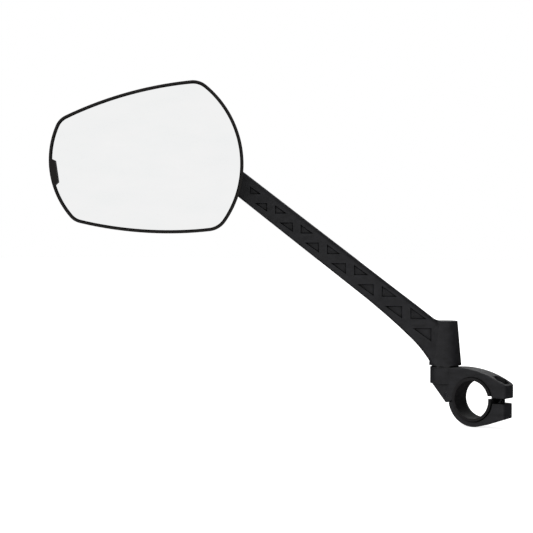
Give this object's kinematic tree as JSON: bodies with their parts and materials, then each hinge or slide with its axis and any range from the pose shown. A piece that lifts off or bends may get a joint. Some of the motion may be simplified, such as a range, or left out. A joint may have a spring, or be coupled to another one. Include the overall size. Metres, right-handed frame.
{
  "type": "bike mirror",
  "caption": "Handlebar rear-view mirror: hinged bar clamp, swivelling arm with triangular pockets, and a convex mirror head on a ball joint.",
  "frame": {"origin": "centre of the bar bore, midway across the clamp", "axes": "+Y along the bar away from the rider, +X from the clamp's hinge side to its ears, +Z along the arm's swivel axis, upwards"},
  "size_m": [0.2151, 0.1712, 0.1998],
  "materials": {
    "nylon": "moulded glass-filled nylon, fine matt texture",
    "shell": "moulded ABS, fine satin texture",
    "liner": "moulded elastomer, satin",
    "steel": "zinc-plated, satin",
    "black_steel": "black oxide steel",
    "brass": "turned",
    "acetal": "natural acetal, turned",
    "elastomer": "moulded, matt",
    "foam": "closed-cell adhesive foam",
    "mirror": "chrome-coated convex glass"
  },
  "bodies": {
    "clamp": {"upper_jaw": "nylon", "hinge_pin": "black_steel", "clamp_sleeve": "liner", "clamp_nut": "steel", "pivot_friction_disc": "acetal", "pivot_insert": "brass", "pivot_washer": "steel", "pivot_spring_washer": "steel", "pivot_screw": "black_steel"},
    "jaw": {"lower_jaw": "nylon"},
    "screw": {"clamp_screw": "black_steel"},
    "swivel_arm": {"arm": "nylon", "barrel_cap": "nylon", "ball_stud": "steel", "stud_washer": "steel", "stud_screw": "black_steel"},
    "cup": {"friction_cup": "acetal"},
    "ring": {"seat_ring": "acetal"},
    "head": {"preload_ring": "elastomer", "socket_cap": "nylon", "socket_cap_screws": "black_steel", "head_shell": "shell", "glass_foam_pad": "foam", "mirror_glass": "mirror"}
  },
  "joints": [
    {"name": "jaw_open", "type": "hinge", "parent": "clamp", "child": "jaw", "pos_m": [-0.0173, 0, 0.0017], "axis": [0, 1, 0], "range_deg": [0, 35]},
    {"name": "screw_draw", "type": "slide", "parent": "jaw", "child": "screw", "axis": [0, 0, -1], "range_m": [0, 0.031]},
    {"name": "arm_swivel", "type": "hinge", "parent": "clamp", "child": "swivel_arm", "pos_m": [-0.0214, 0, 0.0188], "axis": [0, 0, 1], "continuous": true},
    {"name": "head_pan", "type": "hinge", "parent": "swivel_arm", "child": "cup", "pos_m": [-0.12569, -0.09769, 0.1418], "axis": [0, 0, 1], "range_deg": [-15, 15]},
    {"name": "head_tilt", "type": "hinge", "parent": "cup", "child": "ring", "pos_m": [-0.12569, -0.09769, 0.1418], "axis": [0.8018, 0.5976, 0], "range_deg": [-15, 15]},
    {"name": "head_roll", "type": "hinge", "parent": "ring", "child": "head", "pos_m": [-0.12569, -0.09769, 0.1418], "axis": [0.5976, -0.8018, 0], "range_deg": [-30, 30]}
  ],
  "couplings": [
    {"joint": "screw_draw", "follows": "jaw_open", "m_per_rad": 0.05}
  ]
}
